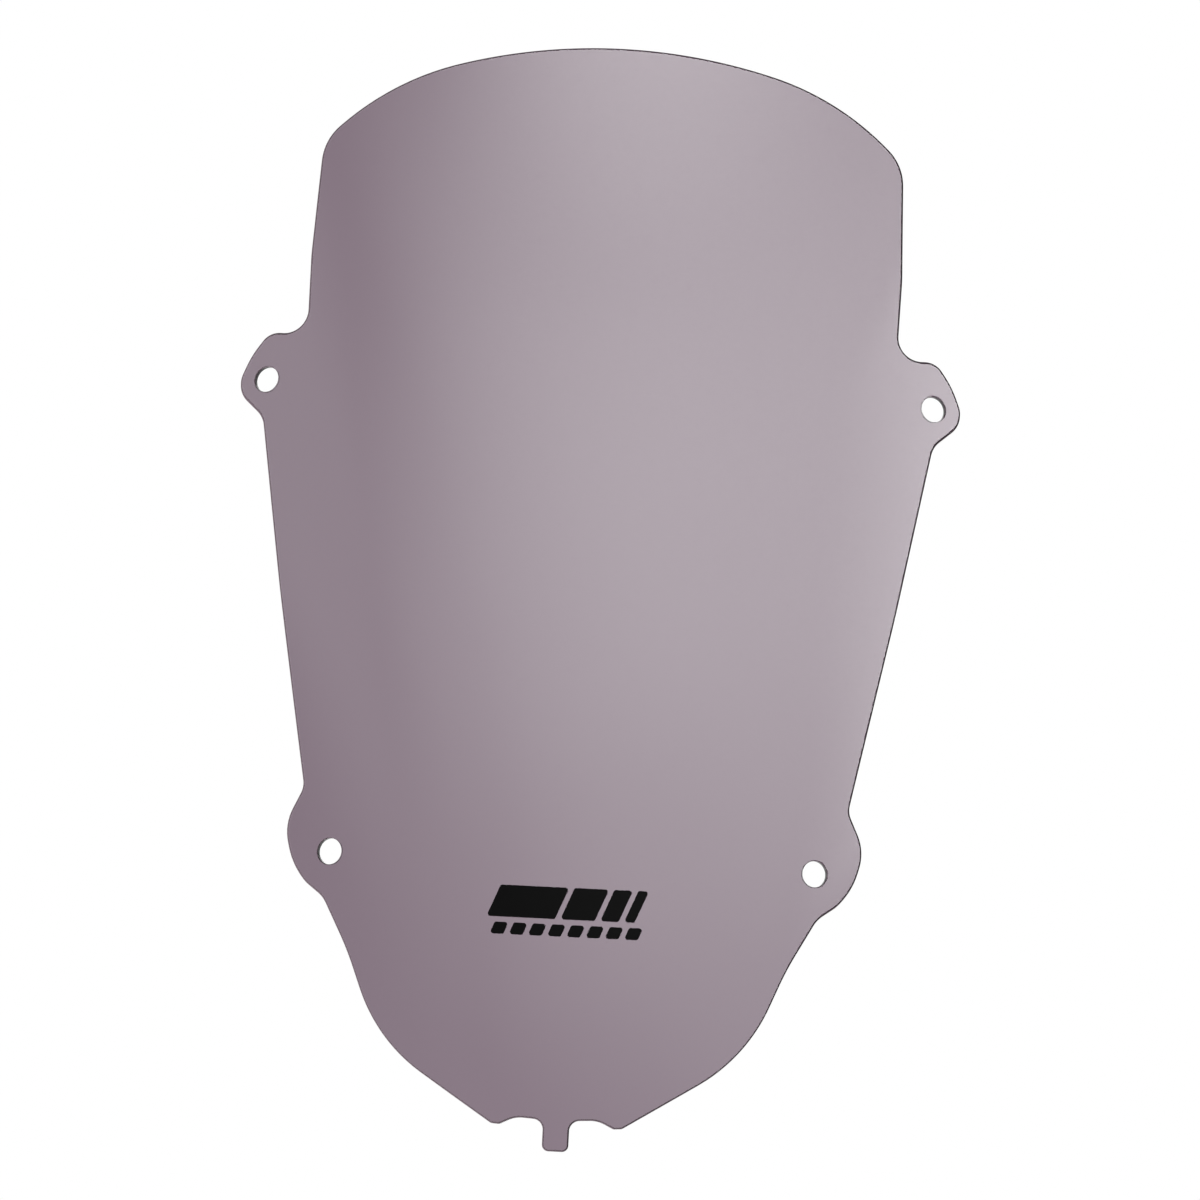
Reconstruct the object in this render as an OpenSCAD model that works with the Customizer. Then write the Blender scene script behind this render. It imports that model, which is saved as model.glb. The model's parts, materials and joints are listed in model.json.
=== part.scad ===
// Windshield screen for a sport motorcycle: one thermoformed sheet of smoked
// clear plastic with four fixing holes and a locating tongue, and two cut-vinyl
// marks stuck to its outer face.
//
// Millimetres, +Z up. The outer face looks towards -Y. The origin is the middle
// of the tongue's tip, on the outer face. An outline is drawn as it is seen from
// the front, in X and Z, and is then laid on the formed face.

/* [Sheet] */
// Thickness of the sheet
sheet_t = 2; // [1.5:0.5:4]
// Height from the tongue's tip to the crown
screen_h = 421.5; // [380:0.5:520]
// Width across the shoulders
shoulder_w = 225; // [180:1:280]
// How far the shoulder corners lie below the crown
shoulder_drop = 40; // [30:1:60]

/* [Form] */
// Lean of the sheet at the tongue, back from upright
lean = 4.6; // [0:0.1:15]
// Radius of the sheet's bow, from tongue to crown
bow_r = 1250; // [800:10:3000]
// Radius of the sheet's wrap at the lower holes
wrap_r_low = 235; // [180:1:400]
// Radius of the sheet's wrap at the upper holes
wrap_r_high = 300; // [230:1:500]

/* [Holes and ears] */
// Diameter of the fixing holes
hole_d = 10; // [5:0.5:12]
// Distance between the centres of the upper holes
upper_span = 257; // [210:1:320]
// Height of the upper holes above the tongue's tip
upper_z = 287; // [250:1:330]
// Distance between the centres of the lower holes
lower_span = 184.5; // [150:0.5:230]
// Height of the lower holes above the tongue's tip
lower_z = 108; // [90:1:130]

/* [Tail] */
// Width across the two corners beside the scallops
tail_w = 49.5; // [36:0.5:60]
// Height of those corners above the tongue's tip
tail_z = 9.5; // [6:0.5:14]
// Width of the locating tongue
tongue_w = 10; // [8:0.5:14]
// Height of the scallops above the tail corners
scallop_h = 2.8; // [2:0.1:5]

/* [Marks] */
// Thickness of the vinyl
vinyl_t = 0.2; // [0.1:0.05:0.5]
// Width of each mark
mark_w = 56; // [40:1:80]
// Height of the middle of the upper mark
mark_z = 93; // [80:1:150]
// Height of the blocks in the upper mark
block_h = 12; // [6:1:20]
// Height of the dashes in the lower mark
dash_h = 4.5; // [3:0.5:8]
// Number of dashes in the lower mark
dash_count = 8; // [4:1:12]
// Slant of blocks and dashes, clockwise from upright
slant = 22; // [0:1:35]

/* [Hidden] */

// Longest step along an outline, of the sheet and of the vinyl
sheet_step = 10;
vinyl_step = 4;
// Largest turn in one step of a corner
turn_step = 20;
// Rings of facets from the middle of a plate to its outline
screen_rings = 10;
block_rings = 3;
dash_rings = 1;
// How far a hole's cutter stands out of each face
cut_over = 4;
// Film of adhesive between the vinyl and the sheet
glue_t = 0.05;
// Clear gap between neighbouring blocks, dashes and the two marks
mark_gap = 2;
// Widths of the blocks as shares of the vinyl in their row
block_shares = [0.52, 0.26, 0.14, 0.08];
mark_corner_r = 1;

upper_x = upper_span / 2;
lower_x = lower_span / 2;
shoulder_x = shoulder_w / 2;
shoulder_z = screen_h - shoulder_drop;
tail_x = tail_w / 2;
tongue_x = tongue_w / 2;
hub = [0, (lower_z + upper_z) / 2];

// ---- The formed face ----

wrap_rate = (wrap_r_high - wrap_r_low) / (upper_z - lower_z);

// Radius of the wrap around the sheet at a height
function wrap_r(z) = wrap_r_low + wrap_rate * (z - lower_z);

// Distance from the middle of the wrap to the chord at x
function wrap_chord(x, z) = sqrt(pow(wrap_r(z), 2) - x * x);

// How far the outer face lies behind the tongue's tip
function depth(x, z) =
    z * tan(lean) + z * z / (2 * bow_r) + wrap_r(z) - wrap_chord(x, z);

function unit(v) = v / norm(v);

// Direction straight out of the outer face
function outward(x, z) = unit([
    x / wrap_chord(x, z),
    -1,
    tan(lean) + z / bow_r + wrap_rate * (1 - wrap_r(z) / wrap_chord(x, z))
]);

// Point over or, with a negative height, under the outer face
function on_face(p, height = 0) =
    [p[0], depth(p[0], p[1]), p[1]] + height * outward(p[0], p[1]);

// ---- Outlines: corners are [x, z, fillet radius] ----

function at(corner) = [corner[0], corner[1]];
function angle_of(v) = atan2(v[1], v[0]);
function signed_turn(a) = a > 180 ? a - 360 : a < -180 ? a + 360 : a;

// Length from each corner to where its fillet would start
function wanted_tangents(c) = let (n = len(c)) [
    for (i = [0 : n - 1])
        let (turn = signed_turn(
            angle_of(at(c[(i + 1) % n]) - at(c[i]))
            - angle_of(at(c[i]) - at(c[(i + n - 1) % n]))))
        max(c[i][2] * tan(abs(turn) / 2), 0.001)
];

// A fillet gives way where it and the next one don't both fit on their edge
function fitted(c, t, i) = let (
    n = len(c),
    before = (i + n - 1) % n,
    after = (i + 1) % n
) t[i] * min(
    1,
    norm(at(c[i]) - at(c[before])) / (t[i] + t[before]),
    norm(at(c[i]) - at(c[after])) / (t[i] + t[after])
);

// Points along the fillet of corner p, between its neighbours a and b
function fillet(a, p, b, t, longest) = let (
    from = unit(p - a),
    to = unit(b - p),
    turn = signed_turn(angle_of(to) - angle_of(from)),
    r = t / tan(abs(turn) / 2),
    side = turn > 0 ? 90 : -90,
    start = p - t * from,
    first = angle_of(from),
    middle = start + r * [cos(first + side), sin(first + side)],
    steps = ceil(max(abs(turn) / turn_step, r * abs(turn) * PI / 180 / longest))
) [
    for (s = [0 : steps])
        let (a = first - side + turn * s / steps)
        middle + r * [cos(a), sin(a)]
];

// Corners to a closed outline, with long straight edges cut into steps
function rounded(c, longest) = let (
    n = len(c),
    t = wanted_tangents(c),
    arcs = [
        for (i = [0 : n - 1])
            let (a = at(c[(i + n - 1) % n]), b = at(c[(i + 1) % n]))
            fillet(a, at(c[i]), b, fitted(c, t, i), longest)
    ],
    bends = [for (arc = arcs) for (p = arc) p],
    m = len(bends)
) [
    for (i = [0 : m - 1])
        let (
            p = bends[i],
            q = bends[(i + 1) % m],
            steps = ceil(norm(q - p) / longest)
        )
        if (norm(q - p) > 0.02)
            for (s = [0 : steps - 1]) p + (q - p) * s / steps
];

// Right half of the screen, from the crown down to the tongue. The ears keep
// their place around the holes, and the flanks run from ear to ear.
half_outline = [
    // crown and shoulder
    [31, screen_h, 225],
    [shoulder_x - 26.8, screen_h - 15.4, 108],
    [shoulder_x, shoulder_z, 20],
    // flank above the upper ear, with a faint swell half way
    [(shoulder_x + upper_x - 14.7) / 2 + 1.2, (shoulder_z + upper_z) / 2 + 2, 72],
    // upper ear
    [upper_x - 14.7, upper_z + 17.9, 9.3],
    [upper_x + 0.1, upper_z + 18.5, 8],
    [upper_x + 6.9, upper_z + 9.1, 40],
    [upper_x + 10.6, upper_z, 8.5],
    [upper_x + 10.4, upper_z - 6.2, 8.5],
    [upper_x + 0.8, upper_z - 14.5, 8.7],
    // flank between the ears, a little fuller than straight
    [(upper_x + lower_x + 12.4) / 2 + 1.6, (upper_z + lower_z) / 2 + 9.2, 900],
    // lower ear
    [lower_x + 11.7, lower_z + 23.8, 8],
    [lower_x + 18.6, lower_z + 9.2, 19],
    [lower_x + 14.9, lower_z - 4.9, 27],
    [lower_x + 9.3, lower_z - 12, 15],
    [lower_x + 1.9, lower_z - 17.3, 11],
    // taper to the tail
    [lower_x - 8.7, (lower_z - 17.3 + tail_z) / 2 + 21.2, 113],
    [(lower_x + tail_x) / 2 + 11.5, (lower_z + tail_z) / 4 + 8.5, 64],
    // tail corner, scallop and tongue
    [tail_x, tail_z, 2.6],
    [tail_x - 3.1, tail_z - 0.2, 2],
    [tail_x - 9.2, tail_z + scallop_h, 11.5],
    [tongue_x, tail_z + scallop_h - 0.6, 4],
    [tongue_x, 0, 2.5]
];

left_half = [
    for (i = [len(half_outline) - 1 : -1 : 0])
        [-half_outline[i][0], half_outline[i][1], half_outline[i][2]]
];

screen_outline = rounded(concat(half_outline, left_half), sheet_step);

holes = [
    [-upper_x, upper_z],
    [upper_x, upper_z],
    [-lower_x, lower_z],
    [lower_x, lower_z]
];

// ---- Plates formed to the face ----

// A plate with this outline: its outer face stands `proud` of the screen's
// outer face, and it is `t` thick. Its facets run out from `middle` in rings.
module formed_plate(outline, middle, rings, proud, t) {
    n = len(outline);
    side = 1 + rings * n;
    flat = concat([middle], [
        for (ring = [1 : rings]) for (p = outline) middle + (p - middle) * ring / rings
    ]);
    function spot(ring, k) = ring == 0 ? 0 : 1 + (ring - 1) * n + k % n;
    outer = [
        for (ring = [1 : rings]) for (k = [0 : n - 1])
            let (a = spot(ring - 1, k), b = spot(ring, k), c = spot(ring, k + 1))
            each ring == 1 ? [[a, b, c]] : [[a, b, c], [a, c, spot(ring - 1, k + 1)]]
    ];
    inner = [for (f = outer) [f[0] + side, f[2] + side, f[1] + side]];
    rim = [
        for (k = [0 : n - 1])
            let (a = spot(rings, k), b = spot(rings, k + 1))
            each [[a, a + side, b + side], [a, b + side, b]]
    ];
    polyhedron(
        points = concat(
            [for (p = flat) on_face(p, proud)],
            [for (p = flat) on_face(p, proud - t)]
        ),
        faces = concat(outer, inner, rim),
        convexity = 10
    );
}

// A cylinder through the sheet at p, square to its faces
module square_to_face(p, d) {
    out = outward(p[0], p[1]);
    translate(on_face(p, -sheet_t - cut_over))
        rotate([0, acos(out[2]), angle_of(out)])
            cylinder(h = sheet_t + 2 * cut_over, d = d, $fn = 96);
}

// ---- Vinyl marks ----

vinyl_proud = vinyl_t + glue_t;
function slanted(z) = z * tan(slant);

// A slanted block of vinyl, w wide and h high, with its left foot at p
module vinyl_block(p, w, h, rings) {
    corners = [
        [p[0] + slanted(h), p[1] + h, mark_corner_r],
        [p[0] + slanted(h) + w, p[1] + h, mark_corner_r],
        [p[0] + w, p[1], mark_corner_r],
        [p[0], p[1], mark_corner_r]
    ];
    formed_plate(
        rounded(corners, vinyl_step),
        [p[0] + (w + slanted(h)) / 2, p[1] + h / 2],
        rings, vinyl_proud, vinyl_t
    );
}

// Sum of the first n numbers of a list
function total(list, n) = n == 0 ? 0 : list[n - 1] + total(list, n - 1);

// A row of blocks, as wide as the mark, with its feet at height z
module vinyl_row(widths, h, z, rings) {
    for (i = [0 : len(widths) - 1]) {
        foot = -(mark_w + slanted(h)) / 2 + total(widths, i) + i * mark_gap;
        vinyl_block([foot, z], widths[i], h, rings);
    }
}

// ---- Nodes ----

module screen() {
    color([0.62, 0.57, 0.61, 0.75])
        difference() {
            formed_plate(screen_outline, hub, screen_rings, 0, sheet_t);
            for (p = holes) square_to_face(p, hole_d);
        }
}

module mark_blocks() {
    vinyl_w = mark_w - (len(block_shares) - 1) * mark_gap;
    color("black")
        vinyl_row(block_shares * vinyl_w, block_h, mark_z - block_h / 2, block_rings);
}

module mark_dashes() {
    dash_w = (mark_w - (dash_count - 1) * mark_gap) / dash_count;
    color("black")
        vinyl_row(
            [for (i = [1 : dash_count]) dash_w],
            dash_h, mark_z - block_h / 2 - mark_gap - dash_h, dash_rings
        );
}

screen();
mark_blocks();
mark_dashes();
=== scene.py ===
# %% [markdown]
# # A smoked screen for a sport motorcycle
#
# The object is one sheet of smoked acrylic. It was warmed until soft, pulled
# over a mould, then trimmed to its outline and drilled. Two small marks of
# black vinyl sit on its front.
#
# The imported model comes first. It is the frame: it says where the holes are,
# how thick the sheet is and how big the whole thing may be. Its faces are flat
# facets, and a polished sheet shows every facet in its reflections, so this
# lesson remakes the sheet with a fine, truly smooth surface on the same sizes.
#
# `x` runs to the right, `z` up, and `y` away from the front. A flat point
# [x, z] is a point as the front view shows it.

import json
from math import ceil, cos, exp, pi, radians, sin, tan

import bpy
import numpy as np
from mathutils import Matrix, Vector
from mathutils.geometry import delaunay_2d_cdt


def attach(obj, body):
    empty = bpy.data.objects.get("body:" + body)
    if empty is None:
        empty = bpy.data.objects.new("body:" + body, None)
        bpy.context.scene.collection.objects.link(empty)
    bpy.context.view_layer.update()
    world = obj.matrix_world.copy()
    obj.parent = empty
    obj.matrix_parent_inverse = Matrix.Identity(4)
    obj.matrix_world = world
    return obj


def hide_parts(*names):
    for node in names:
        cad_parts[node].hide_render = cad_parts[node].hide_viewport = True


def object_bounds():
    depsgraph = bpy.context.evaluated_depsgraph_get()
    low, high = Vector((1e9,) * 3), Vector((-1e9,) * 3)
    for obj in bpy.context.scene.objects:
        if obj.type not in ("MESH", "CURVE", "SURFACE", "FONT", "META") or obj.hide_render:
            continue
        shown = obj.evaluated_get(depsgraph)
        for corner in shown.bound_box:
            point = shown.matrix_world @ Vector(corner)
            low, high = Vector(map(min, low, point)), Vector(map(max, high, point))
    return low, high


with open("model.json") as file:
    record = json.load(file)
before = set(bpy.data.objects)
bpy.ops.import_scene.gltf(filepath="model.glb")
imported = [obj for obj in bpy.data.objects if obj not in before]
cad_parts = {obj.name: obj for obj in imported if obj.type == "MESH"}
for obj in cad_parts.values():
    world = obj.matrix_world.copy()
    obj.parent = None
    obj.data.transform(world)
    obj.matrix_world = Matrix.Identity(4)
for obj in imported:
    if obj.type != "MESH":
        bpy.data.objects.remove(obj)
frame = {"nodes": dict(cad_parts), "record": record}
cad_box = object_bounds()
print("frame nodes:", sorted(frame["nodes"]))

# %% [markdown]
# ## Sizes that come from the frame
#
# The four holes are mounts in the record, so their place, radius and length are
# known exactly. A mount's place is half way through the sheet. The outer face
# lies half a thickness further along its axis. Lengths below are millimetres,
# because that is how such a part is drawn, and turn to metres at the very end.

# %% Hole places, sheet thickness and crown height
MM = 0.001
DRAWING_DIGITS = 2
holes = [m for m in frame["record"]["mounts"] if m["kind"] == "bore"]
SHEET_T = holes[0]["dims"]["length_mm"]
HOLE_R = holes[0]["dims"]["r_mm"]


def hole_centre(hole):
    """Where a hole's axis leaves the outer face, in mm."""
    return Vector(hole["pos_m"]) / MM + Vector(hole["axis"]) * SHEET_T / 2


def right_hole(level):
    """Distance out and height of the right-hand hole on this level."""
    found = [h for h in holes if h["name"] == f"{level}_right_hole"][0]
    centre = hole_centre(found)
    return round(centre.x, DRAWING_DIGITS), round(centre.z, DRAWING_DIGITS)


upper_x, upper_z = right_hole("upper")
lower_x, lower_z = right_hole("lower")
crown_z = round(cad_box[1][2] / MM, DRAWING_DIGITS)
print(f"sheet {SHEET_T} mm, holes {2 * HOLE_R} mm")
print("right-hand holes at x, z:", (upper_x, upper_z), (lower_x, lower_z))

# %% [markdown]
# ## The formed face
#
# Heat forming gives the sheet three gentle shapes at once: it leans back from
# the tongue, it bows from tongue to crown, and it wraps round the instruments.
# The wrap opens out towards the top. A sculpted or subdivided cage could stand
# for that, but a formula is exact at any fineness, and its slope gives the
# exact direction of every surface normal, which is what makes a reflection run
# smoothly.
#
# Warm plastic never comes off a mould perfectly even. A few broad, very low
# waves, about 0.1 mm high, are part of the shape too.

# %% Depth of the formed face
LEAN = radians(4.6)
BOW_R = 1250
# The wrap's radius at the lower and at the upper holes
WRAP_R_LOW = 235
WRAP_R_HIGH = 300
WRAP_RATE = (WRAP_R_HIGH - WRAP_R_LOW) / (upper_z - lower_z)

# Forming waves: length in mm, direction across the sheet, shift, height in mm
FORMING_WAVES = [
    (118, radians(12), 0.7, 0.060),
    (83, radians(-64), 2.1, 0.035),
    (151, radians(78), 4.0, 0.080),
    (61, radians(31), 5.2, 0.018),
]


def forming_wave(x, z):
    """How far the uneven pull of the mould moves the face, in mm."""
    return sum(
        height * np.sin(2 * pi * (x * cos(way) + z * sin(way)) / length + shift)
        for length, way, shift, height in FORMING_WAVES
    )


def depth(x, z):
    """How far the outer face lies behind the tongue's tip, in mm."""
    wrap_r = WRAP_R_LOW + WRAP_RATE * (z - lower_z)
    wrap = wrap_r - np.sqrt(wrap_r**2 - x**2)
    return z * tan(LEAN) + z**2 / (2 * BOW_R) + wrap + forming_wave(x, z)


print(f"the crown lies {depth(0.0, crown_z):.1f} mm behind the tongue")

# %% Direction of the formed face
SLOPE_REACH = 0.05


def unit(v):
    """Vectors of the same directions, 1 long."""
    return v / np.linalg.norm(v, axis=-1, keepdims=True)


def outward(flat):
    """Directions straight out of the outer face at flat points [x, z]."""
    x, z = flat.T
    reach = SLOPE_REACH
    slope_x = (depth(x + reach, z) - depth(x - reach, z)) / (2 * reach)
    slope_z = (depth(x, z + reach) - depth(x, z - reach)) / (2 * reach)
    return unit(np.stack([slope_x, -np.ones_like(x), slope_z], axis=-1))


def on_face(flat):
    """Points of the outer face at flat points [x, z]."""
    x, z = flat.T
    return np.stack([x, depth(x, z), z], axis=-1)


crown_way = outward(np.array([[0.0, crown_z]]))[0]
print("straight out of the crown:", crown_way.round(3))

# %% [markdown]
# ## Outlines
#
# A trimmed outline is drawn as a designer draws it: a few corners, each with
# the radius of its fillet. This step turns them into a fine closed line. Where
# two neighbouring fillets don't both fit on the edge between them, both give
# way by the same share, so the line stays smooth.

# %% Corners with fillets to a fine closed line
TURN_STEP = radians(5)
LEAST_TANGENT = 0.001
LEAST_GAP = 0.02


def rounded(corners, step):
    """A closed line round [x, z, fillet radius] corners, in steps of this length."""
    corners = np.array(corners, float)
    here, radius = corners[:, :2], corners[:, 2]
    edge = np.roll(here, -1, axis=0) - here
    edge_length = np.linalg.norm(edge, axis=1)
    leaving = unit(edge)
    arriving = np.roll(leaving, 1, axis=0)
    turn = np.arctan2(
        arriving[:, 0] * leaving[:, 1] - arriving[:, 1] * leaving[:, 0],
        (arriving * leaving).sum(axis=1),
    )
    tangent = np.maximum(radius * np.tan(abs(turn) / 2), LEAST_TANGENT)
    room = edge_length / (tangent + np.roll(tangent, -1))
    tangent *= np.minimum(1, np.minimum(room, np.roll(room, 1)))

    # each corner becomes an arc between its two tangent points
    bends = []
    for p, way, t, a in zip(here, arriving, tangent, turn):
        r = t / tan(abs(a) / 2)
        side = np.array([-way[1], way[0]]) * np.sign(a)
        centre = p - t * way + r * side
        steps = ceil(max(abs(a) / TURN_STEP, r * abs(a) / step))
        for s in range(steps + 1):
            swept = abs(a) * s / steps
            bends.append(centre + r * (sin(swept) * way - cos(swept) * side))

    # and the straights between the arcs are cut into even steps
    line = []
    for p, q in zip(bends, bends[1:] + bends[:1]):
        gap = np.linalg.norm(q - p)
        if gap > LEAST_GAP:
            steps = ceil(gap / step)
            line += [p + (q - p) * s / steps for s in range(steps)]
    return np.array(line)


try_square = rounded([[0, 30, 4], [30, 30, 4], [30, 0, 4], [0, 0, 4]], step=2)
print("points round a 30 mm square with 4 mm corners:", len(try_square))

# %% [markdown]
# ## The screen's outline
#
# The trimmer follows a jig, and the jig was drawn from the places where the
# screen is fixed: each ear stands round its hole. So every corner of an ear is
# given from that hole's centre, and the flanks run from ear to ear. Only the
# right half is drawn. The left half is its mirror image, as on the real jig.

# %% Corners of the right half, and the whole outline
OUTLINE_STEP = 2
SHOULDER_X, SHOULDER_DROP = 112.5, 40
TAIL_X, TAIL_Z = 24.75, 9.5
TONGUE_X = 5
SCALLOP_H = 2.8
shoulder_z = crown_z - SHOULDER_DROP

half_outline = [
    # crown and shoulder
    [31, crown_z, 225],
    [SHOULDER_X - 26.8, crown_z - 15.4, 108],
    [SHOULDER_X, shoulder_z, 20],
    # flank above the upper ear, with a faint swell half way
    [(SHOULDER_X + upper_x - 14.7) / 2 + 1.2, (shoulder_z + upper_z) / 2 + 2, 72],
    # upper ear
    [upper_x - 14.7, upper_z + 17.9, 9.3],
    [upper_x + 0.1, upper_z + 18.5, 8],
    [upper_x + 6.9, upper_z + 9.1, 40],
    [upper_x + 10.6, upper_z, 8.5],
    [upper_x + 10.4, upper_z - 6.2, 8.5],
    [upper_x + 0.8, upper_z - 14.5, 8.7],
    # flank between the ears, a little fuller than straight
    [(upper_x + lower_x + 12.4) / 2 + 1.6, (upper_z + lower_z) / 2 + 9.2, 900],
    # lower ear
    [lower_x + 11.7, lower_z + 23.8, 8],
    [lower_x + 18.6, lower_z + 9.2, 19],
    [lower_x + 14.9, lower_z - 4.9, 27],
    [lower_x + 9.3, lower_z - 12, 15],
    [lower_x + 1.9, lower_z - 17.3, 11],
    # taper to the tail
    [lower_x - 8.7, (lower_z - 17.3 + TAIL_Z) / 2 + 21.2, 113],
    [(lower_x + TAIL_X) / 2 + 11.5, (lower_z + TAIL_Z) / 4 + 8.5, 64],
    # tail corner, scallop and tongue
    [TAIL_X, TAIL_Z, 2.6],
    [TAIL_X - 3.1, TAIL_Z - 0.2, 2],
    [TAIL_X - 9.2, TAIL_Z + SCALLOP_H, 11.5],
    [TONGUE_X, TAIL_Z + SCALLOP_H - 0.6, 4],
    [TONGUE_X, 0, 2.5],
]
left_half = [[-x, z, r] for x, z, r in reversed(half_outline)]
screen_outline = rounded(half_outline + left_half, OUTLINE_STEP)
print("points round the screen:", len(screen_outline))

# %% [markdown]
# ## The holes
#
# Four 10 mm holes take the rubber nuts that hold the screen. A drill goes in
# square to the face, so in the front view its hole is a slightly squeezed
# circle. A circle drawn in the front view would come out stretched on the
# sheet, and its wall would lean, so the circle is drawn round the hole's own
# axis and then seen from the front.

# %% Rims of the four drilled holes
HOLE_STEPS = 96


def drilled(hole):
    """The round rim of a hole on the outer face, as flat points [x, z]."""
    axis = Vector(hole["axis"])
    across = axis.cross(Vector((0, 0, 1))).normalized()
    up = across.cross(axis)
    centre = hole_centre(hole)
    turns = [2 * pi * k / HOLE_STEPS for k in range(HOLE_STEPS)]
    rim = [centre + HOLE_R * (across * cos(a) - up * sin(a)) for a in turns]
    return np.array([[p.x, p.z] for p in rim])


screen_holes = [drilled(h) for h in holes]
widths = [float(np.ptp(rim[:, 0]).round(2)) for rim in screen_holes]
print("holes' widths in the front view:", widths)

# %% [markdown]
# ## From outline to a solid plate
#
# A plate has two formed faces and a cut edge all round. Cutting the outline out
# of a thick block with a boolean would leave ragged faces along the cut. Here
# the faces are filled instead by a constrained triangulation: it takes the
# outline, the holes and an even field of points between them, and joins them
# into near-even triangles.
#
# The edge gets what a trimmer and a scraper leave: a wall square to the face,
# with both of its arrises, the corners where it meets the faces, rounded off.
# The round is real geometry, because it is what makes the rim of a clear sheet
# visible: a sharp corner would have nothing to catch the light with.

# %% Which points are inside
def inside(points, loop):
    """Which flat points lie inside a closed loop."""
    a, b = loop, np.roll(loop, -1, axis=0)
    x, z = points[:, :1], points[:, 1:]
    crosses = (a[:, 1] > z) != (b[:, 1] > z)
    rise = np.where(a[:, 1] == b[:, 1], 1, b[:, 1] - a[:, 1])
    where = a[:, 0] + (z - a[:, 1]) * (b[:, 0] - a[:, 0]) / rise
    return (crosses & (x < where)).sum(axis=1) % 2 == 1


try_points = np.array([[15.0, 15.0], [-5.0, 15.0]])
print("inside it: its middle, a point beside it?", inside(try_points, try_square))

# %% Fill a flat outline with even triangles
BORDER_CLEARANCE = 0.7
ONLY_INSIDE = 1
SAME_POINT = 1e-7


def filled(loops, spacing):
    """Field points between the loops, and triangles over loops and field points.
    The first loop is the outline and the others are holes."""
    border = np.concatenate(loops)
    low, high = border.min(axis=0), border.max(axis=0)
    rows = np.arange(low[1], high[1], spacing * sin(pi / 3))
    field = np.array([
        [x + spacing / 2 * (k % 2), z]
        for k, z in enumerate(rows)
        for x in np.arange(low[0], high[0], spacing)
    ])
    field = field[inside(field, loops[0])]
    for hole in loops[1:]:
        field = field[~inside(field, hole)]
    gap = np.array([np.linalg.norm(border - p, axis=1).min() for p in field])
    field = field[gap > BORDER_CLEARANCE * spacing]

    edges, start = [], 0
    for loop in loops:
        ring = np.arange(start, start + len(loop))
        edges += list(zip(ring.tolist(), np.roll(ring, -1).tolist()))
        start += len(loop)
    corners = np.concatenate([border, field])
    flat = [Vector(p) for p in corners]
    result = delaunay_2d_cdt(flat, edges, [], ONLY_INSIDE, SAME_POINT)
    assert len(result[0]) == len(corners), "the outline crosses or touches itself"
    triangles = np.array(result[2])
    middles = corners[triangles].mean(axis=1)
    for hole in loops[1:]:
        triangles = triangles[~inside(middles, hole)]
        middles = corners[triangles].mean(axis=1)
    return field, triangles


try_field, try_triangles = filled([try_square], spacing=5)
print("the square filled:", len(try_field), "points,", len(try_triangles), "triangles")

# %% Directions along a cut edge
def edge_frame(loop):
    """At each point of a loop: its face point, the face's direction, and the
    direction straight out of the cut edge."""
    point, up = on_face(loop), outward(loop)
    before = unit(point - np.roll(point, 1, axis=0))
    along = unit(before + np.roll(before, -1, axis=0))
    return point, up, unit(np.cross(up, along))


print("out of the square's first point:", edge_frame(try_square)[2][0].round(2))

# %% Build a plate formed to the face
ARRIS_STEPS = 5


def formed_plate(loops, thickness, spacing, proud=0.0):
    """Points, normals and faces of one plate, in mm, and for each face whether it
    is on the outer arris. Each loop comes with the radius that its arrises are
    rounded to. `proud` is how far the plate stands over the formed face."""
    face_loops, rims = [], []
    for loop, radius in loops:
        point, up, out = edge_frame(loop)
        point = point + proud * up - radius * out
        face_loops.append(point[:, [0, 2]])
        rims.append((point, up, out, radius))
    field, triangles = filled(face_loops, spacing)

    # the outer face: loop points first, then the field
    up = np.concatenate([rim[1] for rim in rims] + [outward(field)])
    field_points = on_face(field) + proud * outward(field)
    face = np.concatenate([rim[0] for rim in rims] + [field_points])
    count = len(face)
    points = [face, face - thickness * up]
    normals = [up, -up]
    faces = triangles.tolist() + (triangles + count).tolist()
    on_arris = [False] * len(faces)

    # the cut edge: rows of points from the outer face round to the inner one
    angles = [pi / 2 * k / ARRIS_STEPS for k in range(1, ARRIS_STEPS + 1)]
    total, start = 2 * count, 0
    for inner_rim, up, out, radius in rims:
        n = len(up)
        rows = [np.arange(start, start + n)]
        top = inner_rim - radius * up
        bottom = inner_rim - (thickness - radius) * up
        profile = [(top, sin(a), cos(a)) for a in angles]
        profile += [(bottom, sin(a), -cos(a)) for a in reversed(angles)]
        for middle, outwards, upwards in profile:
            way = outwards * out + upwards * up
            points.append(middle + radius * way)
            normals.append(way)
            rows.append(np.arange(total, total + n))
            total += n
        rows.append(np.arange(start + count, start + count + n))
        for k, (a, b) in enumerate(zip(rows, rows[1:])):
            quads = np.stack([a, np.roll(a, -1), np.roll(b, -1), b], axis=1)
            faces += quads.tolist()
            on_arris += [k < ARRIS_STEPS] * n
        start += n
    return np.concatenate(points), np.concatenate(normals), faces, on_arris


try_plate = formed_plate([(try_square, 0.5)], thickness=2, spacing=5)
print("as a plate:", len(try_plate[0]), "points,", len(try_plate[2]), "faces")

# %% [markdown]
# ## From plates to a piece
#
# Blender can work out smooth normals by averaging a point's faces, but beside a
# narrow round that average leans, and a polished face then shows a false halo
# along its rim. The formula knows the exact directions, so they are given to
# the mesh as they are. Several plates can go in one object: the marks are cut
# from one film and laid on in one go.

# %% Turn plates into one Blender object
def facing_out(points, normals, face):
    """The face's corners in the order that makes it look outwards."""
    a, b, c = (points[k] for k in face[:3])
    looks = np.cross(b - a, c - a)
    return face if looks @ normals[face].sum(axis=0) > 0 else face[::-1]


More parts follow.
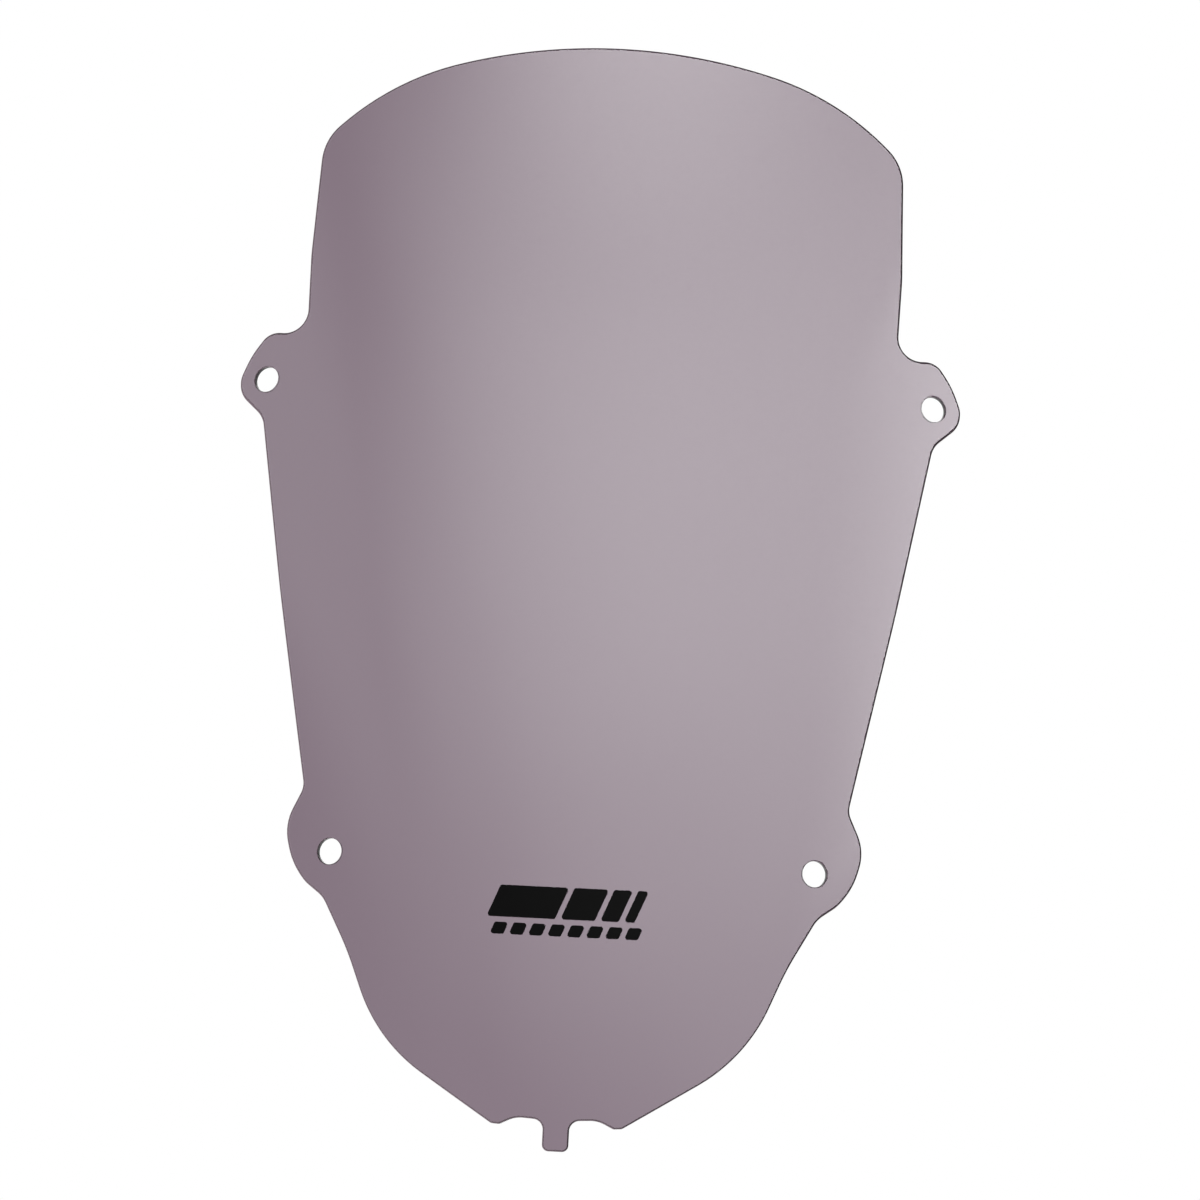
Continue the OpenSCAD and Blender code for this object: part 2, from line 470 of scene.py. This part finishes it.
def make_piece(name, plates, finish, arris_finish=None):
    """One object from one or more plates, with exact smooth normals."""
    mesh = bpy.data.meshes.new(name)
    points, normals, faces, on_arris = [], [], [], []
    for plate_points, plate_normals, plate_faces, plate_on_arris in plates:
        shift = sum(len(p) for p in points)
        for face in plate_faces:
            turned = facing_out(plate_points, plate_normals, face)
            faces.append([k + shift for k in turned])
        points.append(plate_points)
        normals.append(plate_normals)
        on_arris += plate_on_arris
    mesh.from_pydata(np.concatenate(points) * MM, [], faces)
    mesh.polygons.foreach_set("use_smooth", [True] * len(mesh.polygons))
    mesh.normals_split_custom_set_from_vertices(np.concatenate(normals))
    mesh.materials.append(finish)
    if arris_finish:
        mesh.materials.append(arris_finish)
        mesh.polygons.foreach_set("material_index", on_arris)
    piece = bpy.data.objects.new(name, mesh)
    bpy.context.scene.collection.objects.link(piece)
    print(f"{name}: {len(mesh.vertices)} points, {len(mesh.polygons)} faces")
    return piece


# %% [markdown]
# ## Helpers for materials
#
# Colours are written as the hex values that a paint or film maker would quote,
# and turned to the linear light that Blender works in. One function adds a
# shader node with its settings and its links.

# %% Colours and nodes
def linear(hex_colour):
    """An sRGB hex colour as linear red, green, blue and 1."""
    shares = [int(hex_colour[k:k + 2], 16) / 255 for k in (1, 3, 5)]
    return [
        s / 12.92 if s <= 0.04045 else ((s + 0.055) / 1.055) ** 2.4 for s in shares
    ] + [1]


def add_node(tree, kind, settings=None, links=None):
    """Adds a node. Settings are its properties or unlinked inputs, and links
    join its inputs to the outputs of other nodes."""
    node = tree.nodes.new(kind)
    for name, value in (settings or {}).items():
        if isinstance(name, str) and hasattr(node, name):
            setattr(node, name, value)
        else:
            node.inputs[name].default_value = value
    for name, socket in (links or {}).items():
        tree.links.new(socket, node.inputs[name])
    return node


def new_material(name):
    """An empty material and its node tree."""
    material = bpy.data.materials.new(name)
    material.use_nodes = True
    material.node_tree.nodes.clear()
    return material, material.node_tree


def per_mm(length):
    """Pattern scale that gives one feature every `length` mm."""
    return 1 / (length * MM)


print("middle grey #808080 is", round(linear("#808080")[0], 3), "in linear light")

# %% [markdown]
# ## Smoked acrylic, formed, polished and hard-coated
#
# Smoked acrylic is dyed all through. Light loses a share of itself with each
# millimetre, more green than red, which is why this smoke looks faintly mauve
# and why it looks darker where the sheet is seen at a slant. A coloured surface
# can't do that, so the tint is a volume inside clear walls, and it deepens by
# itself towards the flanks.
#
# - Acrylic's index is 1.49, but a rider's screen is often dipped in a silicone
#   hard coat against scratches. That coat is what meets the air, and its index
#   is lower, about 1.43. It sets how strongly the sheet mirrors the room.
# - Its faces are as smooth as the polished mould, with a haze too faint to
#   blur anything much: roughness 0.01 to 0.03, varied over a few centimetres.
# - Pulled plastic is never quite flat between its broad forming waves. A ripple
#   about 25 mm long and a hundredth of a millimetre high moves a reflection
#   just enough to show that the sheet was formed and not ground.

# %% Make the smoked acrylic
HARD_COAT_IOR = 1.43
# The dye's colour and strength per metre, so that 2 mm pass about 18 to 24 %
SMOKE_DYE = linear("#8D6384")
SMOKE_DENSITY = 984
HAZE_GRAIN = 38
RIPPLE_LENGTH = 25

acrylic, tree = new_material("hard_coated_smoked_acrylic")
place = add_node(tree, "ShaderNodeTexCoord")
haze = add_node(
    tree, "ShaderNodeTexNoise",
    {"Scale": per_mm(HAZE_GRAIN), "Detail": 3.0, "Roughness": 0.55},
    {"Vector": place.outputs["Object"]},
)
face_roughness = add_node(
    tree, "ShaderNodeMapRange",
    {"From Min": 0.35, "From Max": 0.7, "To Min": 0.01, "To Max": 0.03},
    {"Value": haze.outputs["Fac"]},
)
ripple = add_node(
    tree, "ShaderNodeTexNoise",
    {"Scale": per_mm(RIPPLE_LENGTH), "Detail": 0.0},
    {"Vector": place.outputs["Object"]},
)
ripple_bump = add_node(
    tree, "ShaderNodeBump",
    {"Strength": 1.0, "Distance": 0.02 * MM}, {"Height": ripple.outputs["Fac"]},
)
clear_wall = add_node(
    tree, "ShaderNodeBsdfPrincipled",
    {"Base Color": linear("#FFFFFF"), "Transmission Weight": 1.0,
     "IOR": HARD_COAT_IOR},
    {"Roughness": face_roughness.outputs["Result"],
     "Normal": ripple_bump.outputs["Normal"]},
)
dye = add_node(
    tree, "ShaderNodeVolumeAbsorption", {"Color": SMOKE_DYE, "Density": SMOKE_DENSITY},
)
add_node(
    tree, "ShaderNodeOutputMaterial", None,
    {"Surface": clear_wall.outputs["BSDF"], "Volume": dye.outputs["Volume"]},
)
passed = [exp(-SMOKE_DENSITY * (1 - c) * SHEET_T * MM) for c in SMOKE_DYE[:3]]
print("light passed by the dye, straight through:", [round(p, 3) for p in passed])

# %% [markdown]
# ## Scraped acrylic, for the outer arris
#
# A router trims the formed sheet, and a scraper then takes the corner off its
# outer face. The scraper leaves the plastic matt: where the rest of the sheet
# lets light through, this narrow strip scatters it. So it reads as a fine grey
# line round the outline and the holes, dark where the room is dark and nearly
# lost where the room is bright.
#
# It is given as an opaque, matt plastic in a middle tone of the smoke, with no
# shine of its own, since a scraped round is too rough to mirror a lamp. Only
# the outer arris gets it. The wall behind it stays clear acrylic, and bends
# light as the faces do. A whole edge of opaque plastic would turn the rim into
# a heavy black band, and a whole edge of clear plastic would lose it against a
# white room.

# %% Make the scraped acrylic
ACRYLIC_IOR = 1.49
# A scraper chatters every half millimetre or so, drawn coarser so that it shows
CHATTER_GRAIN = 0.8

scraped_acrylic, tree = new_material("routed_and_scraped_acrylic")
place = add_node(tree, "ShaderNodeTexCoord")
chatter = add_node(
    tree, "ShaderNodeTexNoise",
    {"Scale": per_mm(CHATTER_GRAIN), "Detail": 2.0},
    {"Vector": place.outputs["Object"]},
)
scraped_tone = add_node(
    tree, "ShaderNodeMix",
    {"data_type": "RGBA", 6: linear("#61565C"), 7: linear("#7A6D74")},
    {0: chatter.outputs["Fac"]},
)
scraped_roughness = add_node(
    tree, "ShaderNodeMapRange",
    {"From Min": 0.3, "From Max": 0.7, "To Min": 0.5, "To Max": 0.65},
    {"Value": chatter.outputs["Fac"]},
)
scraped_bump = add_node(
    tree, "ShaderNodeBump",
    {"Strength": 0.3, "Distance": 0.04 * MM}, {"Height": chatter.outputs["Fac"]},
)
matt_strip = add_node(
    tree, "ShaderNodeBsdfPrincipled",
    {"IOR": ACRYLIC_IOR, "Specular IOR Level": 0.0},
    {"Base Color": scraped_tone.outputs[2],
     "Roughness": scraped_roughness.outputs["Result"],
     "Normal": scraped_bump.outputs["Normal"]},
)
add_node(
    tree, "ShaderNodeOutputMaterial", None, {"Surface": matt_strip.outputs["BSDF"]}
)
print(f"{scraped_acrylic.name}: chatter every {CHATTER_GRAIN} mm")

# %% [markdown]
# ## Black vinyl film, calendered
#
# Cut film is soft PVC rolled to a dull skin. Its black is very deep: the pebble
# that the rollers leave and the slight haze of wear spread what little shine it
# has, so it stays black even under a lamp. PVC's index is 1.53.

# %% Make the black vinyl
VINYL_IOR = 1.53
# The rollers' pebble is about 0.2 mm, drawn coarser so that it shows
PEBBLE_GRAIN = 0.5
WEAR_GRAIN = 9

vinyl, tree = new_material("calendered_black_vinyl_film")
place = add_node(tree, "ShaderNodeTexCoord")
pebble = add_node(
    tree, "ShaderNodeTexNoise",
    {"Scale": per_mm(PEBBLE_GRAIN), "Detail": 2.0},
    {"Vector": place.outputs["Object"]},
)
rubbed = add_node(
    tree, "ShaderNodeTexNoise",
    {"Scale": per_mm(WEAR_GRAIN), "Detail": 3.0},
    {"Vector": place.outputs["Object"]},
)
vinyl_roughness = add_node(
    tree, "ShaderNodeMapRange",
    {"From Min": 0.3, "From Max": 0.7, "To Min": 0.3, "To Max": 0.42},
    {"Value": rubbed.outputs["Fac"]},
)
vinyl_bump = add_node(
    tree, "ShaderNodeBump",
    {"Strength": 0.25, "Distance": 0.02 * MM}, {"Height": pebble.outputs["Fac"]},
)
film = add_node(
    tree, "ShaderNodeBsdfPrincipled",
    {"Base Color": linear("#070707"), "IOR": VINYL_IOR, "Specular IOR Level": 0.02},
    {"Roughness": vinyl_roughness.outputs["Result"],
     "Normal": vinyl_bump.outputs["Normal"]},
)
add_node(tree, "ShaderNodeOutputMaterial", None, {"Surface": film.outputs["BSDF"]})
print(f"{vinyl.name}: pebble every {PEBBLE_GRAIN} mm, wear every {WEAR_GRAIN} mm")

# %% [markdown]
# ## The screen
#
# One solid sheet, 2 mm thick, with its four holes. A rider's screen mustn't have
# a sharp edge, so its crown and flanks are scraped until they are nearly
# full-round. The tail goes behind the fairing and gets less, which also shows:
# the line round it is finer. The holes only lose their burr.

# %% Make the screen
FACE_SPACING = 4.5
TAIL_ARRIS_R, CROWN_ARRIS_R = 0.6, 0.95
# The arris is the tail's up to the first height, and the crown's from the second
TAIL_UP_TO, ROUND_FROM = 40, 110
HOLE_ARRIS_R = 0.3

outline_z = screen_outline[:, 1]
share = np.clip((outline_z - TAIL_UP_TO) / (ROUND_FROM - TAIL_UP_TO), 0, 1)
outline_arris = (TAIL_ARRIS_R + (CROWN_ARRIS_R - TAIL_ARRIS_R) * share)[:, None]
sheet_loops = [(screen_outline, outline_arris)]
sheet_loops += [(hole, HOLE_ARRIS_R) for hole in screen_holes]
sheet = formed_plate(sheet_loops, SHEET_T, FACE_SPACING)
screen = make_piece("smoked_screen", [sheet], acrylic, scraped_acrylic)

# %% [markdown]
# ## The vinyl marks
#
# A cutter plotter cuts such marks out of black film, and they are then rubbed
# down onto the finished screen. They follow its curve. The film could be a
# texture on the sheet, but real film has a thickness: its edge is a tiny step
# that shows at a low angle. So each block is its own thin plate. The shapes are
# plain slanted blocks and dashes and spell nothing.

# %% Sizes of the marks
FILM_T = 0.2
ADHESIVE_T = 0.05
FILM_ARRIS_R = 0.06
FILM_STEP, FILM_SPACING = 1, 2
MARK_W, MARK_Z = 56, 93
MARK_GAP = 2
SLANT = tan(radians(22))
BLOCK_H, BLOCK_SHARES = 12, [0.52, 0.26, 0.14, 0.08]
DASH_H, DASH_COUNT = 4.5, 8
MARK_CORNER_R = 1


def film_row(shares, height, foot_z):
    """A row of slanted film plates, as wide as the mark, that starts at foot_z."""
    film_w = MARK_W - (len(shares) - 1) * MARK_GAP
    foot_x = -(MARK_W + SLANT * height) / 2
    plates = []
    for share in shares:
        width, lean = share * film_w, SLANT * height
        corners = [
            [foot_x + lean, foot_z + height, MARK_CORNER_R],
            [foot_x + lean + width, foot_z + height, MARK_CORNER_R],
            [foot_x + width, foot_z, MARK_CORNER_R],
            [foot_x, foot_z, MARK_CORNER_R],
        ]
        outline = rounded(corners, FILM_STEP)
        plates.append(formed_plate(
            [(outline, FILM_ARRIS_R)], FILM_T, FILM_SPACING, FILM_T + ADHESIVE_T
        ))
        foot_x += width + MARK_GAP
    return plates


print("blocks' widths as shares of the film:", BLOCK_SHARES)

# %% Make the marks
block_foot = MARK_Z - BLOCK_H / 2
dash_foot = block_foot - MARK_GAP - DASH_H
dash_shares = [1 / DASH_COUNT] * DASH_COUNT
blocks = make_piece("vinyl_blocks", film_row(BLOCK_SHARES, BLOCK_H, block_foot), vinyl)
dashes = make_piece("vinyl_dashes", film_row(dash_shares, DASH_H, dash_foot), vinyl)

# %% [markdown]
# ## Pieces in the frame
#
# The screen is one rigid part, so its three pieces ride on the same body. Each
# stands in for the frame's plain solid of the same thing, and is listed with the
# name of its material in the record.

# %% Put the pieces in the frame
for piece, node, slot in (
    (screen, "screen", "smoked_acrylic"),
    (blocks, "mark_blocks", "black_vinyl"),
    (dashes, "mark_dashes", "black_vinyl"),
):
    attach(piece, "root")
    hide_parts(node)
    print(f"{piece.name} stands for {node}, in {slot}")

# %% [markdown]
# ## The room
#
# Glossy plastic is a picture of its room, and a matt surface adds up the light
# of half the room. The two are given apart here.
#
# - What shows behind the sheet, through it and mirrored in it is a plain white.
# - The light that falls on matt surfaces comes from the lower left only. So the
#   scraped arris is pale along the left and the foot, where it looks at that
#   light, and dark along the right and the crown.
# - Four softboxes stand round the front and show in the sheet's shine only: a
#   very large one high on the right, a narrower one at its side, a weak one on
#   the left and a bright one over the crown. Their light fades out towards
#   their rims, as cloth in front of a flash does, so none of them shows an
#   outline. They can't be seen directly or through the sheet, and don't grey
#   the vinyl.

# %% What is seen apart from what lights
def only_seen(tree, seen, otherwise):
    """A strength that is `seen` for camera, glossy and transmission rays, and for
    the light that falls on things is what the socket `otherwise` says."""
    path = add_node(tree, "ShaderNodeLightPath")
    seen_or_mirrored = add_node(
        tree, "ShaderNodeMath", {"operation": "MAXIMUM"},
        {0: path.outputs["Is Camera Ray"], 1: path.outputs["Is Glossy Ray"]},
    )
    in_view = add_node(
        tree, "ShaderNodeMath", {"operation": "MAXIMUM"},
        {0: seen_or_mirrored.outputs[0], 1: path.outputs["Is Transmission Ray"]},
    )
    return add_node(
        tree, "ShaderNodeMix", {"data_type": "FLOAT", 3: seen},
        {0: in_view.outputs[0], 2: otherwise},
    ).outputs[0]


# %% White world, and the light on matt surfaces
ROOM_DARK, ROOM_BRIGHT = 0.02, 2.8
BRIGHT_WAY = (-0.71, -0.08, -0.7)
# The cosines to the bright way where the dark ends and where the bright begins
DARK_UP_TO, BRIGHT_FROM = 0.2, 0.7

world = bpy.data.worlds.new("white_room")
bpy.context.scene.world = world
world.use_nodes = True
tree = world.node_tree
tree.nodes.clear()
way = add_node(tree, "ShaderNodeTexCoord")
towards_bright = add_node(
    tree, "ShaderNodeVectorMath", {"operation": "DOT_PRODUCT", 1: BRIGHT_WAY},
    {0: way.outputs["Generated"]},
)
room_light = add_node(
    tree, "ShaderNodeMapRange",
    {"interpolation_type": "SMOOTHSTEP", "From Min": DARK_UP_TO,
     "From Max": BRIGHT_FROM, "To Min": ROOM_DARK, "To Max": ROOM_BRIGHT},
    {"Value": towards_bright.outputs["Value"]},
)
sky = add_node(
    tree, "ShaderNodeBackground", {"Color": linear("#FFFFFF")},
    {"Strength": only_seen(tree, 1.0, room_light.outputs["Result"])},
)
add_node(tree, "ShaderNodeOutputWorld", None, {"Surface": sky.outputs["Background"]})
print(f"the room lights matt surfaces at {ROOM_DARK} to {ROOM_BRIGHT}")

# %% How a softbox is made
OBJECT_MIDDLE = Vector((0, 0.045, 0.21))
# Watts that make a square metre of lamp as bright as a white of 1
WATTS_FOR_WHITE = 4
LAMP_MIDDLE = 0.5


def softbox(name, bearing, rise, roll, size, distance, level, fade, shine_only=True):
    """A flat lamp that looks at the object. Bearing is measured from the front
    towards +X and rise from the floor up, in degrees. `level` is its own
    brightness against a white of 1, and `fade` is the share of each half side
    over which it fades out. A shine-only lamp lights no matt surface."""
    width, height = size
    data = bpy.data.lights.new(name, "AREA")
    data.shape = "RECTANGLE"
    data.size, data.size_y = width, height
    data.energy = WATTS_FOR_WHITE * level * width * height
    data.use_nodes = True
    tree = data.node_tree
    tree.nodes.clear()
    spot = add_node(tree, "ShaderNodeNewGeometry")
    parts = add_node(
        tree, "ShaderNodeSeparateXYZ", None, {"Vector": spot.outputs["Parametric"]}
    )
    strength = None
    for axis, share in zip("XY", fade):
        side = add_node(
            tree, "ShaderNodeMath", {"operation": "SUBTRACT", 1: LAMP_MIDDLE},
            {0: parts.outputs[axis]},
        )
        off = add_node(
            tree, "ShaderNodeMath", {"operation": "ABSOLUTE"}, {0: side.outputs[0]}
        )
        part = add_node(
            tree, "ShaderNodeMapRange",
            {"interpolation_type": "SMOOTHSTEP", "From Min": LAMP_MIDDLE,
             "From Max": LAMP_MIDDLE * (1 - share), "To Min": 0.0, "To Max": 1.0},
            {"Value": off.outputs[0]},
        ).outputs["Result"]
        strength = part if strength is None else add_node(
            tree, "ShaderNodeMath", {"operation": "MULTIPLY"}, {0: strength, 1: part}
        ).outputs[0]
    glow = add_node(tree, "ShaderNodeEmission", None, {"Strength": strength})
    add_node(tree, "ShaderNodeOutputLight", None, {"Surface": glow.outputs["Emission"]})

    lamp = bpy.data.objects.new(name, data)
    bpy.context.scene.collection.objects.link(lamp)
    a, e = radians(bearing), radians(rise)
    way = Vector((sin(a) * cos(e), -cos(a) * cos(e), sin(e)))
    across = Vector((cos(a), sin(a), 0))
    lamp.matrix_world = (
        Matrix.Translation(OBJECT_MIDDLE + distance * way)
        @ Matrix((across, way.cross(across), way)).transposed().to_4x4()
        @ Matrix.Rotation(radians(roll), 4, "Z")
    )
    lamp.visible_camera = False
    lamp.visible_transmission = False
    lamp.visible_diffuse = not shine_only
    print(f"{name}: {width} x {height} m, {data.energy:.0f} W")


# %% Place the four softboxes
softbox("softbox_high_right", bearing=30.8, rise=33.5, roll=-16.2, size=(10.2, 4.25),
        distance=2.5, level=4.8, fade=(0.9, 1.0))
softbox("softbox_side_right", bearing=77.6, rise=23, roll=0, size=(3.55, 1.65),
        distance=2.5, level=4.6, fade=(1.0, 0.3))
softbox("softbox_left", bearing=-74, rise=26.8, roll=-5.3, size=(7.75, 1.55),
        distance=2.5, level=1.22, fade=(1.0, 0.8))
softbox("softbox_crown", bearing=3.4, rise=67.5, roll=-2.2, size=(2.8, 2.45),
        distance=2.5, level=6.05, fade=(1.0, 1.0))

# %% [markdown]
# ## The floor
#
# A plain pale floor lies under the object. It keeps the soft shadow that a lamp
# overhead throws, and it shows nearly white where nothing shades it: most of
# what the camera sees of it is its own even glow. Mirrored in the sheet or seen
# through it, it is as white as the room, and it throws no light back up on the
# object's matt surfaces.

# %% The floor's disc
FLOOR_DROP = 0.25
FLOOR_R = 3.5
FLOOR_SIDES = 128
floor_z = cad_box[0][2] - FLOOR_DROP

floor_mesh = bpy.data.meshes.new("floor")
ring = [Vector((FLOOR_R * cos(a), FLOOR_R * sin(a), floor_z))
        for a in np.linspace(0, 2 * pi, FLOOR_SIDES, endpoint=False)]
floor_mesh.from_pydata(ring, [], [list(range(len(ring)))])
floor = bpy.data.objects.new("floor", floor_mesh)
bpy.context.scene.collection.objects.link(floor)
floor.visible_diffuse = False
print(f"floor at z = {floor_z:.3f} m")

# %% The floor's paint
FLOOR_GLOW = 0.84

paint, tree = new_material("matt_white_floor_paint")
path = add_node(tree, "ShaderNodeLightPath")
pale = add_node(tree, "ShaderNodeBsdfDiffuse", {"Color": linear("#DADADA")})
seen_glow = add_node(
    tree, "ShaderNodeMath", {"operation": "MULTIPLY", 1: FLOOR_GLOW},
    {0: path.outputs["Is Camera Ray"]},
)
own_glow = add_node(
    tree, "ShaderNodeEmission", None, {"Strength": seen_glow.outputs[0]}
)
lit = add_node(
    tree, "ShaderNodeAddShader", None,
    {0: pale.outputs["BSDF"], 1: own_glow.outputs["Emission"]},
)
white = add_node(tree, "ShaderNodeEmission", {"Strength": 1.0})
mirrored_or_through = add_node(
    tree, "ShaderNodeMath", {"operation": "MAXIMUM"},
    {0: path.outputs["Is Glossy Ray"], 1: path.outputs["Is Transmission Ray"]},
)
mixed = add_node(
    tree, "ShaderNodeMixShader", None,
    {0: mirrored_or_through.outputs[0], 1: lit.outputs["Shader"],
     2: white.outputs["Emission"]},
)
add_node(tree, "ShaderNodeOutputMaterial", None, {"Surface": mixed.outputs["Shader"]})
floor_mesh.materials.append(paint)
print(f"{paint.name}: the camera sees {FLOOR_GLOW} of white as its own glow")

# %% The lamp overhead
softbox("softbox_overhead", bearing=0, rise=90, roll=0, size=(2, 2), distance=2,
        level=1.2, fade=(0.4, 0.4), shine_only=False)

# %% [markdown]
# ## The camera
#
# A long lens, far away, as a studio uses for a flat, true outline. It stands a
# little to the right of the middle, level with the object, and is tipped a few
# degrees on its own axis.

# %% Camera
CAMERA_BEARING = radians(2.4)
CAMERA_DISTANCE = 3.76
CAMERA_AIM = Vector((0.0074, 0, 0.208))
CAMERA_TIP = radians(2.66)
LENS_MM, SENSOR_MM = 300, 36
FARTHEST = 50

camera_data = bpy.data.cameras.new("camera")
camera_data.lens = LENS_MM
camera_data.sensor_width = SENSOR_MM
camera_data.clip_end = FARTHEST
camera = bpy.data.objects.new("camera", camera_data)
bpy.context.scene.collection.objects.link(camera)
back = Vector((sin(CAMERA_BEARING), -cos(CAMERA_BEARING), 0))
camera.matrix_world = (
    Matrix.Translation(CAMERA_AIM + CAMERA_DISTANCE * back)
    @ Matrix.Rotation(CAMERA_BEARING, 4, "Z")
    @ Matrix.Rotation(pi / 2, 4, "X")
    @ Matrix.Rotation(CAMERA_TIP, 4, "Z")
)
bpy.context.scene.camera = camera
bpy.context.scene.view_settings.view_transform = "Standard"
view_w = CAMERA_DISTANCE * SENSOR_MM / LENS_MM
print(f"the camera sees {view_w:.3f} m across at {CAMERA_DISTANCE} m")

# %% [markdown]
# ## Sizes
#
# The visible pieces must fill the box that the frame gave them and not leave it.

# %% Update the scene and finish
bpy.context.view_layer.update()
